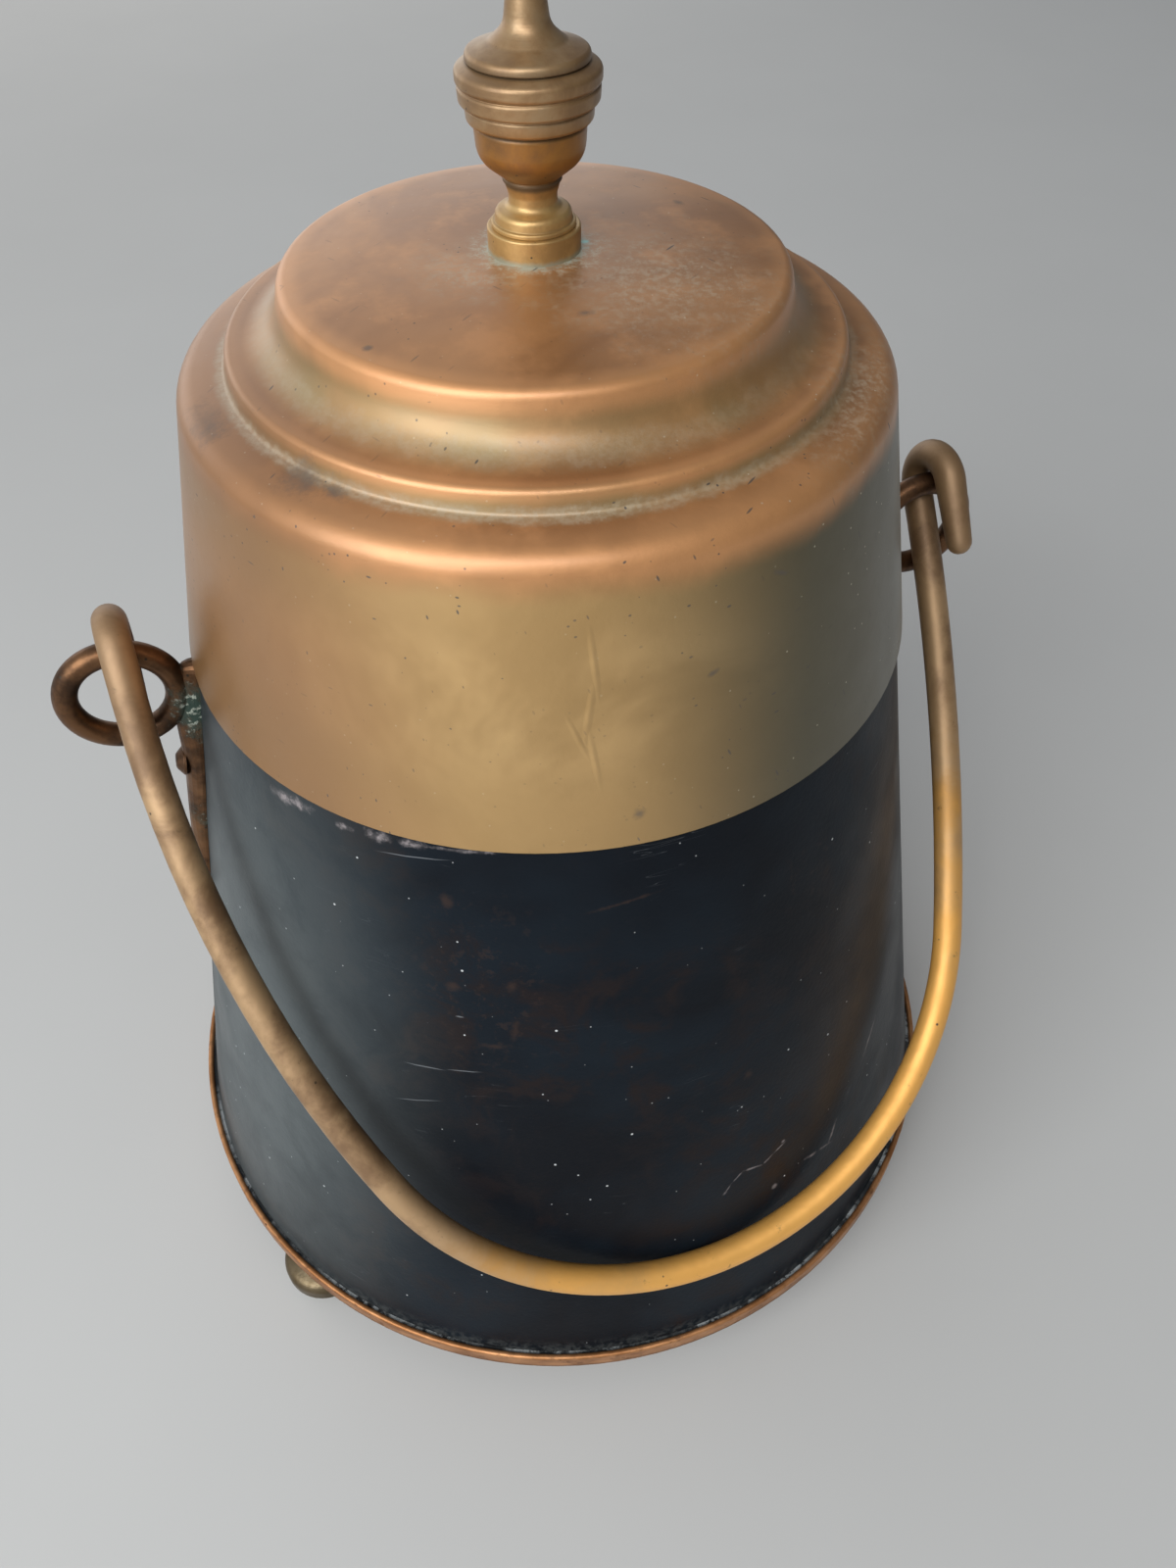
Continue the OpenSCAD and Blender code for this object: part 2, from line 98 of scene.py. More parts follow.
def noise(tree, where, scale, detail=4, rough=0.55, warp=0.0):
    """A cloudy pattern, mostly from 0.3 to 0.7. Scale is in clouds for each metre."""
    node = tree.nodes.new("ShaderNodeTexNoise")
    tree.links.new(where, node.inputs["Vector"])
    node.inputs["Scale"].default_value = scale
    node.inputs["Detail"].default_value = detail
    node.inputs["Roughness"].default_value = rough
    node.inputs["Distortion"].default_value = warp
    return node.outputs["Fac"]


def blend_colour(tree, share, a, b):
    """Colour a where the share is 0, and colour b where it is 1."""
    node = tree.nodes.new("ShaderNodeMix")
    node.data_type = "RGBA"
    feed(tree, node.inputs["Factor"], share)
    feed(tree, node.inputs["A"], a)
    feed(tree, node.inputs["B"], b)
    return node.outputs["Result"]


floor_finish, tree, shader, where = new_finish("pale_floor", metallic=0.0, roughness=0.9, gloss=0.2)
pale = blend_colour(tree, noise(tree, where, 6.0, 3), floor_pale, floor_shade)
tree.links.new(pale, shader.inputs["Base Color"])
clear_selection()
bpy.ops.mesh.primitive_plane_add(size=floor_size, location=(0, 0, 0))
floor = bpy.context.object
floor.name = "floor"
floor.data.materials.append(floor_finish)

sky = bpy.data.worlds.new("soft_sky")
scene.world = sky
sky.use_nodes = True
sky_tree = sky.node_tree
sky_light = sky_tree.nodes["Background"]
sky_light.inputs["Color"].default_value = sky_colour
around = sky_tree.nodes.new("ShaderNodeTexCoord")
parts = sky_tree.nodes.new("ShaderNodeSeparateXYZ")
fade = sky_tree.nodes.new("ShaderNodeMapRange")
fade.inputs["From Min"].default_value = sky_left_x
fade.inputs["From Max"].default_value = sky_right_x
fade.inputs["To Min"].default_value = sky_bright
fade.inputs["To Max"].default_value = sky_dim
sky_tree.links.new(around.outputs["Generated"], parts.inputs["Vector"])
sky_tree.links.new(parts.outputs["X"], fade.inputs["Value"])
sky_tree.links.new(fade.outputs["Result"], sky_light.inputs["Strength"])


def window_light(name, place, aim, width, height, watts, colour):
    data = bpy.data.lights.new(name, "AREA")
    data.shape = "RECTANGLE"
    data.size = width
    data.size_y = height
    data.energy = watts
    data.color = colour
    lamp = bpy.data.objects.new(name, data)
    lamp.location = place
    lamp.rotation_euler = (Vector(aim) - Vector(place)).to_track_quat("-Z", "Y").to_euler()
    scene.collection.objects.link(lamp)


window_light("window_left", place=(-1.35, -0.85, 1.05), aim=(0, 0, 0.2),
             width=1.3, height=1.3, watts=24, colour=(0.95, 0.98, 1.0))
window_light("window_behind", place=(-0.35, 1.9, 0.75), aim=(0, 0, 0.3),
             width=2.6, height=1.3, watts=9, colour=(1.0, 0.98, 0.95))
window_light("window_front", place=(-0.55, -1.25, 1.75), aim=(0, 0, 0.25),
             width=1.1, height=0.8, watts=14, colour=(1.0, 0.98, 0.96))


# Body. A cone of sheet metal with an almost black, satin patina, brown where it has rusted.
# It is rolled, lapped and brazed at the back, and its mouth is curled inwards round an iron
# wire. The lid has rubbed it pale just under its rim, and the bail has scratched its front.
body_black = (0.0042, 0.0054, 0.0080, 1)
body_blue = (0.0070, 0.0115, 0.0170, 1)
painted_sheen_grey = (0.100, 0.114, 0.116, 1)
body_brown = (0.0135, 0.0100, 0.0105, 1)
rust_brown = (0.050, 0.029, 0.021, 1)
rubbed_pale = (0.33, 0.29, 0.29, 1)
scratch_grey = (0.16, 0.17, 0.18, 1)
dust_white = (0.55, 0.57, 0.57, 1)
foot_ash = (0.085, 0.088, 0.085, 1)
foot_ash_z = (0.034, 0.0235)
mark_depth = 0.02

# Marks on the wall: a place, half a length, half a height, a facing and a tilt in degrees.
rust_spots = (
    ((-0.0579, -0.0964, 0.2013), 0.0034, 0.0024, -121, 0),
    ((-0.0436, -0.1031, 0.2039), 0.0026, 0.0030, -113, 0),
    ((-0.0441, -0.1064, 0.1873), 0.0017, 0.0046, -113, -10),
    ((-0.0508, -0.1050, 0.1801), 0.0056, 0.0015, -116, 5),
    ((-0.0557, -0.0910, 0.2312), 0.0022, 0.0034, -121, 0),
    ((0.0229, -0.1205, 0.1489), 0.0025, 0.0025, -79, 0),
    ((-0.0124, -0.1055, 0.2310), 0.0115, 0.0008, -97, 10),
)
rubbed_spots = (
    ((-0.0872, -0.0564, 0.2447), 0.0090, 0.0024, -147, 7),
    ((-0.0755, -0.0713, 0.2453), 0.0034, 0.0015, -137, 6),
    ((-0.0682, -0.0780, 0.2464), 0.0058, 0.0024, -131, 8),
    ((-0.0612, -0.0835, 0.2472), 0.0052, 0.0019, -126, 2),
    ((-0.0500, -0.0905, 0.2482), 0.0100, 0.0009, -119, 4),
)
bail_scratches = (
    ((-0.0694, -0.0968, 0.1663), 0.0076, 0.00034, -126, 6),
    ((-0.0592, -0.1030, 0.1682), 0.0063, 0.00028, -120, 8),
    ((-0.0733, -0.0977, 0.1506), 0.0091, 0.00024, -127, 19),
    ((-0.0577, -0.0991, 0.1900), 0.0015, 0.00040, -120, 2),
    ((-0.0612, -0.0837, 0.2432), 0.0120, 0.00026, -126, 8),
)
chalk_marks = (
    ((0.0158, -0.1317, 0.0978), 0.0034, 0.00060, -83, 51),
    ((0.0194, -0.1304, 0.1016), 0.0032, 0.00055, -82, 40),
    ((0.0252, -0.1293, 0.1020), 0.0050, 0.00055, -79, -18),
    ((0.0311, -0.1281, 0.1019), 0.0031, 0.00055, -76, 27),
    ((0.0355, -0.1265, 0.1039), 0.0031, 0.00050, -74, 21),
    ((0.0372, -0.1257, 0.1060), 0.0010, 0.00090, -74, 0),
    ((0.0342, -0.1307, 0.0852), 0.0015, 0.00170, -75, 33),
    ((0.0148, -0.1321, 0.0963), 0.0018, 0.00120, -84, 48),
    ((0.0503, -0.1251, 0.0862), 0.0041, 0.00110, -68, -15),
    ((0.0571, -0.1226, 0.0840), 0.0046, 0.00080, -65, -20),
    ((0.0598, -0.1208, 0.0864), 0.0082, 0.00090, -64, 62),
    ((0.0790, -0.1029, 0.1122), 0.0095, 0.00100, -52, 46),
)

# Wider patches: a place, a reach outwards, round and up, a facing and a tilt.
rusty_patches = (
    ((-0.0500, -0.1000, 0.200), (0.03, 0.034, 0.052), -115, 0),
    ((0.045, -0.104, 0.215), (0.03, 0.018, 0.016), -66, 0),
)
# Painted sheen: patches on the left of the body and on its right edge, where it reflects broad light.
sheen_patch_left = ((-0.122, -0.040, 0.14), (0.08, 0.100, 0.24), -161, 0)
sheen_patch_right = ((0.112, -0.030, 0.21), (0.06, 0.014, 0.07), -15, 0)


def mapped(tree, where, scale=(1, 1, 1), turn=(0, 0, 0)):
    node = tree.nodes.new("ShaderNodeMapping")
    tree.links.new(where, node.inputs["Vector"])
    node.inputs["Scale"].default_value = scale
    node.inputs["Rotation"].default_value = [radians(a) for a in turn]
    return node.outputs["Vector"]


def band(tree, value, low, high, to_low=0.0, to_high=1.0):
    """A smooth step from to_low, where the value is low, to to_high, where it is high."""
    node = tree.nodes.new("ShaderNodeMapRange")
    node.interpolation_type = "SMOOTHSTEP"
    feed(tree, node.inputs["Value"], value)
    node.inputs["From Min"].default_value = low
    node.inputs["From Max"].default_value = high
    node.inputs["To Min"].default_value = to_low
    node.inputs["To Max"].default_value = to_high
    return node.outputs["Result"]


def sums(tree, operation, a, b=0.0):
    node = tree.nodes.new("ShaderNodeMath")
    node.operation = operation
    feed(tree, node.inputs[0], a)
    feed(tree, node.inputs[1], b)
    return node.outputs["Value"]


def plus(tree, a, b):
    return sums(tree, "ADD", a, b)


def less(tree, a, b):
    return sums(tree, "SUBTRACT", a, b)


def times(tree, a, b):
    return sums(tree, "MULTIPLY", a, b)


def about_zero(tree, pattern, much):
    """A pattern that goes as much below 0 as above it, to fray an edge or to shift a height."""
    return times(tree, less(tree, pattern, 0.5), much)


def most_of(tree, *masks):
    """The strongest of several masks at each point."""
    top = masks[0]
    for mask in masks[1:]:
        top = sums(tree, "MAXIMUM", top, mask)
    return top


def sides(tree, where):
    """How far each point is to the right, to the back and up from the middle of the floor."""
    parts = tree.nodes.new("ShaderNodeSeparateXYZ")
    tree.links.new(where, parts.inputs["Vector"])
    return parts.outputs["X"], parts.outputs["Y"], parts.outputs["Z"]


def specks(tree, where, spacing, size, keep, stretch=(1, 1, 1)):
    """Small spots, or dashes where they are stretched: 1 inside a spot and 0 outside it."""
    node = tree.nodes.new("ShaderNodeTexVoronoi")
    tree.links.new(mapped(tree, where, stretch), node.inputs["Vector"])
    node.inputs["Scale"].default_value = 1 / spacing
    inside = band(tree, node.outputs["Distance"], size / spacing, 0.55 * size / spacing)
    chance = tree.nodes.new("ShaderNodeSeparateColor")
    tree.links.new(node.outputs["Color"], chance.inputs["Color"])
    return times(tree, inside, sums(tree, "LESS_THAN", chance.outputs["Red"], keep))


def mark(tree, where, place, reach, facing, tilt=0.0, ragged=None, full=0.35):
    """A mark at a place, 0 outside its reach and 1 within a share of it. Reach is outwards, round and up."""
    node = tree.nodes.new("ShaderNodeMapping")
    node.vector_type = "TEXTURE"
    tree.links.new(where, node.inputs["Vector"])
    node.inputs["Location"].default_value = place
    node.inputs["Rotation"].default_value = (radians(tilt), 0, radians(facing))
    node.inputs["Scale"].default_value = reach
    length = tree.nodes.new("ShaderNodeVectorMath")
    length.operation = "LENGTH"
    tree.links.new(node.outputs["Vector"], length.inputs[0])
    far = length.outputs["Value"]
    if ragged:
        far = plus(tree, far, ragged)
    return band(tree, far, 1.0, full)


def marks(tree, where, rows, ragged=None, full=0.35):
    return most_of(tree, *[mark(tree, where, place, (mark_depth, length, height), facing, tilt, ragged, full)
                           for place, length, height, facing, tilt in rows])


def patches(tree, where, rows, ragged=None, full=0.0):
    return most_of(tree, *[mark(tree, where, *row, ragged, full) for row in rows])


def relief(tree, shader, *layers):
    """The surface's own ups and downs: each layer is a pattern and its depth in metres."""
    total = 0.0
    for pattern, depth in layers:
        node = tree.nodes.new("ShaderNodeMath")
        node.operation = "MULTIPLY_ADD"
        feed(tree, node.inputs[0], pattern)
        node.inputs[1].default_value = depth
        feed(tree, node.inputs[2], total)
        total = node.outputs["Value"]
    node = tree.nodes.new("ShaderNodeBump")
    node.inputs["Distance"].default_value = 1.0
    tree.links.new(total, node.inputs["Height"])
    tree.links.new(node.outputs["Normal"], shader.inputs["Normal"])


def dress(finish, *names):
    for name in names:
        mesh = nodes[name].data
        mesh.materials.clear()
        mesh.materials.append(finish)


body_finish, tree, shader, where = new_finish("body_patina", metallic=0.0, gloss=0.08)
height = sides(tree, where)[2]
cloud = noise(tree, where, 9.0, 4, 0.6, 0.4)
mottle = noise(tree, where, 48.0, 5, 0.68, 0.5)
crumbs = noise(tree, where, 330.0, 3, 0.7)
patchy = band(tree, noise(tree, where, 11.0, 3), 0.40, 0.62)
frayed = about_zero(tree, noise(tree, where, 230.0, 4, 0.7), 2.2)
colour = blend_colour(tree, band(tree, cloud, 0.38, 0.62), body_black, body_blue)
browned = times(tree, band(tree, mottle, 0.46, 0.66), patchy)
colour = blend_colour(tree, browned, colour, body_brown)

rusty = most_of(tree, patches(tree, where, rusty_patches),
                band(tree, noise(tree, where, 7.0, 2), 0.52, 0.72, 0, 0.8))
rust = times(tree, band(tree, noise(tree, where, 260.0, 3, 0.75), 0.54, 0.68), rusty)
rust = most_of(tree, times(tree, rust, 0.34),
               times(tree, marks(tree, where, rust_spots, frayed, full=0.0), 0.5))
colour = blend_colour(tree, rust, colour, rust_brown)
# Painted sheen: a pale grey haze on the left of the body and on its right edge stands in for the broad
# reflections there.
haze = most_of(tree, mark(tree, where, *sheen_patch_left, full=0.15),
               mark(tree, where, *sheen_patch_right, full=0.0))
haze = times(tree, haze, band(tree, mottle, 0.3, 0.6, 0.65, 0.85))
colour = blend_colour(tree, haze, colour, painted_sheen_grey)

rubbed = times(tree, marks(tree, where, rubbed_spots, frayed, full=0.0),
               band(tree, crumbs, 0.40, 0.60, 0.2, 0.8))
colour = blend_colour(tree, rubbed, colour, rubbed_pale)
scratches = times(tree, marks(tree, where, bail_scratches), 0.7)
fine = noise(tree, mapped(tree, where, (1, 1, 14), (8, 0, 12)), 26.0, 2, 0.4)
hair = sums(tree, "LESS_THAN", sums(tree, "ABSOLUTE", less(tree, fine, 0.5)), 0.0035)
hair = times(tree, hair, band(tree, noise(tree, where, 34.0, 3), 0.6, 0.68, 0, 0.2))
colour = blend_colour(tree, most_of(tree, scratches, hair), colour, scratch_grey)
chalk = times(tree, marks(tree, where, chalk_marks, frayed, full=0.0), 0.55)
colour = blend_colour(tree, chalk, colour, rubbed_pale)
dust = most_of(tree, specks(tree, where, 0.0085, 0.00048, 0.6),
               times(tree, 0.6, specks(tree, where, 0.0055, 0.00028, 0.6)))
colour = blend_colour(tree, times(tree, dust, 0.9), colour, dust_white)
ash = times(tree, band(tree, height, *foot_ash_z), band(tree, crumbs, 0.4, 0.65, 0.1, 0.75))
colour = blend_colour(tree, ash, colour, foot_ash)
tree.links.new(colour, shader.inputs["Base Color"])

satin = band(tree, noise(tree, where, 30.0, 3), 0.3, 0.7, 0.31, 0.43)
satin = plus(tree, satin, times(tree, most_of(tree, rubbed, ash), 0.35))
tree.links.new(satin, shader.inputs["Roughness"])
relief(tree, shader, (noise(tree, where, 15.0, 2), 0.0012), (noise(tree, where, 620.0, 2, 0.6), 0.00006))
dress(body_finish, "body_shell", "floor_plate")

# Iron fittings. The wire in the mouth, the rivets and washers of the feet, and the finial's
# stud with its washer and nut are plain iron, grey and a little rusty. Most are out of sight.
iron_dark = (0.10, 0.095, 0.09, 1)
iron_grey = (0.2, 0.18, 0.16, 1)

iron_finish, tree, shader, where = new_finish("plain_iron", metallic=0.9, roughness=0.55)
colour = blend_colour(tree, noise(tree, where, 120, 4), iron_dark, iron_grey)
rust = band(tree, noise(tree, where, 300, 4, 0.7), 0.56, 0.7)
colour = blend_colour(tree, rust, colour, rust_brown)
tree.links.new(colour, shader.inputs["Base Color"])
relief(tree, shader, (noise(tree, where, 700, 2), 0.00008))
dress(iron_finish, "mouth_wire", "foot_rivets", "foot_washers", "finial_stud", "lid_washer", "lid_nut")

# Base hoop. A copper hoop stands round the foot of the cone, turned in under the floor. The
# groove between hoop and cone was run full of solder, which has crumbled and caught the ash.
copper_bright = (0.58, 0.285, 0.125, 1)
copper_brown = (0.32, 0.135, 0.048, 1)
copper_dark = (0.11, 0.055, 0.032, 1)
solder_dark = (0.022, 0.024, 0.026, 1)
solder_pale = (0.34, 0.365, 0.37, 1)
hoop_dark_low_z = (0.0225, 0.0203)

copper_finish, tree, shader, where = new_finish("hoop_copper", metallic=0.75)
height = sides(tree, where)[2]
worn = noise(tree, mapped(tree, where, (1, 1, 2.2)), 60, 6, 0.65)
colour = blend_colour(tree, band(tree, worn, 0.35, 0.66), copper_brown, copper_bright)
grime = band(tree, noise(tree, where, 150, 5, 0.7), 0.52, 0.7)
# The hoop is also darker towards its bottom edge.
grime = most_of(tree, times(tree, grime, 0.7),
                band(tree, height, *hoop_dark_low_z, 0, 0.75),
                specks(tree, where, 0.006, 0.0008, 0.35, (1, 1, 3)))
colour = blend_colour(tree, grime, colour, copper_dark)
tree.links.new(colour, shader.inputs["Base Color"])
tree.links.new(band(tree, grime, 0, 1, 0.46, 0.66), shader.inputs["Roughness"])
relief(tree, shader, (noise(tree, where, 45, 2), 0.0006), (noise(tree, where, 520, 2), 0.00006))
dress(copper_finish, "base_hoop", "ear_roves_left", "ear_roves_right")

solder_finish, tree, shader, where = new_finish("crumbled_solder", metallic=0.1, roughness=0.75, gloss=0.3)
crumbs = noise(tree, where, 210, 6, 0.75)
patchy = band(tree, noise(tree, where, 42, 3), 0.38, 0.6)
bare = times(tree, band(tree, crumbs, 0.42, 0.56), patchy)
colour = blend_colour(tree, bare, solder_dark, solder_pale)
tree.links.new(colour, shader.inputs["Base Color"])
relief(tree, shader, (noise(tree, where, 260, 3, 0.7), 0.0009))
dress(solder_finish, "hoop_solder")

# Feet. Three brass buns, turned in a lathe and riveted up through the hoop and the floor.
# They are worn pale round the middle and spotted olive, darker olive just under the hoop, and darkened at the
# floor by painted shadow.
foot_pale = (0.160, 0.120, 0.070, 1)
foot_tan = (0.105, 0.073, 0.036, 1)
foot_olive_and_shadow = (0.065, 0.057, 0.026, 1)
foot_shadow_z = (0.0085, 0.003)
foot_under_hoop_z = (0.0165, 0.0195)

foot_finish, tree, shader, where = new_finish("foot_brass", metallic=0.85)
height = sides(tree, where)[2]
worn = noise(tree, where, 90, 6, 0.65)
colour = blend_colour(tree, band(tree, worn, 0.36, 0.64), foot_tan, foot_pale)
# Painted shadow where the foot meets the floor, and a darker olive band just under the hoop.
dimmed = most_of(tree, band(tree, height, *foot_shadow_z, 0, 0.9), band(tree, height, *foot_under_hoop_z, 0, 0.7))
colour = blend_colour(tree, dimmed, colour, foot_olive_and_shadow)
colour = blend_colour(tree, specks(tree, where, 0.004, 0.0006, 0.5), colour, foot_olive_and_shadow)
tree.links.new(colour, shader.inputs["Base Color"])
tree.links.new(band(tree, worn, 0.3, 0.7, 0.48, 0.34), shader.inputs["Roughness"])
relief(tree, shader, (noise(tree, where, 260, 3), 0.0002))
dress(foot_finish, "foot_front_left", "foot_front_right", "foot_back")

# Lid. One sheet of copper, spun over a former into a skirt, a rounded shoulder, a bead and
# a cove under a domed plateau. Hands have rubbed its edges orange, its skirt has gone olive,
# ash lies in its grooves and round the finial, and its front has a crease from a knock.
# Painted shade darkens the lid's left side and its skirt's right side, top and lower part.
lid_brown = (0.500, 0.232, 0.080, 1)
lid_deep = (0.350, 0.150, 0.045, 1)
lid_orange = (0.640, 0.305, 0.115, 1)
lid_olive = (0.560, 0.350, 0.138, 1)
lid_olive_deep = (0.410, 0.245, 0.084, 1)
lid_shade = (0.066, 0.058, 0.022, 1)
lid_left_shade = (0.230, 0.100, 0.030, 1)
cove_olive = (0.310, 0.220, 0.085, 1)
lid_stain = (0.050, 0.038, 0.030, 1)
lid_dust = (0.72, 0.66, 0.50, 1)
ash_grey = (0.420, 0.375, 0.280, 1)
verdigris = (0.360, 0.370, 0.290, 1)
verdigris_blue = (0.30, 0.62, 0.58, 1)
smooth_below = radians(35)

# Where a colour of the lid fades in, from none of it at the first value to all at the second.
skirt_top_z = (0.3225, 0.3145)
shade_low_z = (0.288, 0.262)
shade_high_z = (0.296, 0.314)
orange_left_x = (-0.05, -0.095)
shade_right_x = (-0.020, 0.042)
shade_left_x = (-0.040, -0.085)
shade_left_r = (0.066, 0.074)
thin_ash_x = (-0.03, 0.07)

# Rings round the pot's axis: a radius, a height and how far the ring's colour reaches.
rubbed_rings = (
    (0.0873, 0.3240, 0.0085),
    (0.0758, 0.3336, 0.0036),
    (0.0610, 0.3472, 0.0065),
)
wall_rings = (
    (0.0640, 0.3385, 0.0105),
    (0.0775, 0.3312, 0.0050),
)
groove_ring = (0.0783, 0.3288, 0.0027)
cove_ring = (0.0665, 0.3353, 0.0050)
collar_ash_ring = (0.0114, 0.3510, 0.0075)
collar_crust_ring = (0.0114, 0.3510, 0.0022)

# Patches of the lid: a place, a reach outwards, round and up, a facing and a tilt.
ash_patches = (
    ((0.022, -0.024, 0.3495), (0.044, 0.040, 0.02), -50, 0),
    ((-0.016, -0.008, 0.351), (0.020, 0.022, 0.02), -160, 0),
    ((0.064, -0.050, 0.3275), (0.014, 0.046, 0.02), -38, 0),
)
verdigris_dot = ((0.0122, -0.0010, 0.3512), (0.0015, 0.0012, 0.003), 0, 0)
shoulder_stains = (
    ((-0.0675, -0.0440, 0.3283), (0.0060, 0.0085, 0.01), -147, 0),
    ((-0.0615, -0.0510, 0.3283), (0.0036, 0.0060, 0.01), -140, 0),
    ((-0.0840, -0.0120, 0.3270), (0.0060, 0.0120, 0.01), -172, 0),
)
pits = (
    ((0.0011, -0.0340, 0.3495), (0.0019, 0.0030, 0.01), -88, 0),
    ((-0.0472, -0.0309, 0.3485), (0.0015, 0.0015, 0.01), -147, 0),
    ((0.0431, 0.0159, 0.3495), (0.0016, 0.0026, 0.01), 20, 0),
    ((0.0290, -0.0880, 0.3112), (0.01, 0.0030, 0.0009), -71, -25),
    ((-0.0085, -0.1020, 0.2597), (0.01, 0.0024, 0.0022), -95, 10),
    ((0.0107, -0.0955, 0.2932), (0.01, 0.0026, 0.0010), -83, 20),
)
crease_strokes = (
    ((-0.0166, -0.0925, 0.3015), (0.02, 0.0011, 0.0115), -101, 5),
    ((-0.0186, -0.0950, 0.2890), (0.02, 0.0012, 0.0105), -102, -9),
    ((-0.0182, -0.0975, 0.2770), (0.02, 0.0011, 0.0110), -101, 8),
    ((-0.0215, -0.0950, 0.2830), (0.02, 0.0010, 0.0080), -102, 22),
)


def radius_of(tree, right, back):
    """How far each point is from the pot's axis."""
    return sums(tree, "SQRT", plus(tree, times(tree, right, right), times(tree, back, back)))


def ring_mark(tree, height, out, ring, ragged=None):
    """1 near a ring round the pot's axis, and 0 past its reach."""
    ring_r, ring_z, reach = ring
    across = less(tree, out, ring_r)
    along = less(tree, height, ring_z)
    far = sums(tree, "SQRT", plus(tree, times(tree, across, across), times(tree, along, along)))
    far = sums(tree, "DIVIDE", far, reach)
    if ragged:
        far = plus(tree, far, ragged)
    return band(tree, far, 1.0, 0.25)


def turned_rings(tree, height, out, scale):
    """The fine rings that the tool leaves on a piece that is spun or turned."""
    both = tree.nodes.new("ShaderNodeCombineXYZ")
    tree.links.new(out, both.inputs["X"])
    tree.links.new(height, both.inputs["Y"])
    return noise(tree, both.outputs["Vector"], scale, 2, 0.6)


def needles(tree, where, spacing, length, width, keep, turn):
    """Straight nicks that lie one way: 1 inside a nick and 0 outside it. Lengths are half lengths."""
    node = tree.nodes.new("ShaderNodeMapping")
    node.vector_type = "TEXTURE"
    tree.links.new(where, node.inputs["Vector"])
    node.inputs["Rotation"].default_value = [radians(a) for a in turn]
    node.inputs["Scale"].default_value = (1, width / length, width / length)
    return specks(tree, node.outputs["Vector"], spacing, length, keep)


def varnish(shader, weight, roughness):
    """The clear skin of wax and grease that handling leaves on old metal."""
    shader.inputs["Coat Weight"].default_value = weight
    shader.inputs["Coat Roughness"].default_value = roughness


clear_selection()
nodes["lid_shell"].select_set(True)
bpy.context.view_layer.objects.active = nodes["lid_shell"]
bpy.ops.object.duplicate()
lid_sheet = bpy.context.object
lid_sheet.name = "lid_sheet"
bpy.ops.mesh.customdata_custom_splitnormals_clear()
bpy.ops.object.mode_set(mode="EDIT")
bpy.ops.mesh.select_all(action="SELECT")
bpy.ops.mesh.remove_doubles(threshold=1e-6)
bpy.ops.object.mode_set(mode="OBJECT")
bpy.ops.object.shade_smooth_by_angle(angle=smooth_below)
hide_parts("lid_shell")
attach(lid_sheet, "lid")

lid_finish, tree, shader, where = new_finish("lid_copper")
varnish(shader, weight=0.9, roughness=0.36)
right, back, height = sides(tree, where)
out = radius_of(tree, right, back)
right_side = band(tree, right, *thin_ash_x)
cloud = noise(tree, where, 15.0, 4, 0.62, 0.6)
streaks = noise(tree, where, 60.0, 4, 0.65)
haze = noise(tree, where, 520.0, 3, 0.8)
frayed = about_zero(tree, noise(tree, where, 190.0, 4, 0.75), 1.7)

colour = blend_colour(tree, band(tree, cloud, 0.36, 0.64), lid_deep, lid_brown)
colour = blend_colour(tree, band(tree, streaks, 0.46, 0.72, 0, 0.6), colour, lid_orange)
walls = most_of(tree, *[ring_mark(tree, height, out, ring) for ring in wall_rings])
walls = times(tree, walls, band(tree, noise(tree, where, 12.0, 4), 0.38, 0.60, 0.4, 0.92))
colour = blend_colour(tree, walls, colour, cove_olive)
edges = most_of(tree, *[ring_mark(tree, height, out, ring) for ring in rubbed_rings])
edges = times(tree, edges, band(tree, cloud, 0.3, 0.6, 0.45, 0.9))
colour = blend_colour(tree, edges, colour, lid_orange)

# The skirt's olive patina, with painted shade that darkens it low down, just under the shoulder and on the
# right.
skirt = band(tree, plus(tree, height, about_zero(tree, cloud, 0.012)), *skirt_top_z)
olive_and_shade = band(tree, noise(tree, where, 22.0, 4, 0.65, 0.4), 0.36, 0.62)
olive_and_shade = blend_colour(tree, olive_and_shade, lid_olive_deep, lid_olive)
olive_and_shade = blend_colour(tree, band(tree, noise(tree, where, 9.0, 3), 0.5, 0.72, 0, 0.45), olive_and_shade, lid_brown)
olive_and_shade = blend_colour(tree, band(tree, right, *orange_left_x, 0, 0.5), olive_and_shade, lid_orange)
olive_and_shade = blend_colour(tree, band(tree, height, *shade_low_z, 0, 0.75), olive_and_shade, lid_olive_deep)
olive_and_shade = blend_colour(tree, band(tree, height, *shade_high_z, 0, 0.65), olive_and_shade, lid_olive_deep)
olive_and_shade = blend_colour(tree, band(tree, right, *shade_right_x, 0, 0.95), olive_and_shade, lid_shade)
colour = blend_colour(tree, skirt, colour, olive_and_shade)
# Painted shade: the left of the shoulder and skirt is darkened.
left_shade = times(tree, band(tree, right, *shade_left_x), band(tree, out, *shade_left_r, 0, 0.70))
colour = blend_colour(tree, left_shade, colour, lid_left_shade)

# Ash in the grooves, on the plateau and the shoulder, and a crust round the finial's foot.
grooves = most_of(tree, ring_mark(tree, height, out, groove_ring, frayed),
                  times(tree, ring_mark(tree, height, out, cove_ring, frayed), 0.5))
grooves = times(tree, grooves, band(tree, right_side, 0, 1, 0.50, 0.34))
grooves = times(tree, grooves, band(tree, haze, 0.38, 0.62, 0.5, 1.0))
ash = most_of(tree, times(tree, patches(tree, where, ash_patches, frayed), 0.50),
              times(tree, ring_mark(tree, height, out, collar_ash_ring, frayed), 0.80))
ash = times(tree, ash, band(tree, haze, 0.42, 0.62, 0.2, 1.0))
ash = most_of(tree, ash, grooves)
colour = blend_colour(tree, ash, colour, ash_grey)
crust = times(tree, ring_mark(tree, height, out, collar_crust_ring, frayed),
              band(tree, haze, 0.36, 0.56, 0.2, 0.8))
colour = blend_colour(tree, crust, colour, verdigris)
colour = blend_colour(tree, mark(tree, where, *verdigris_dot), colour, verdigris_blue)

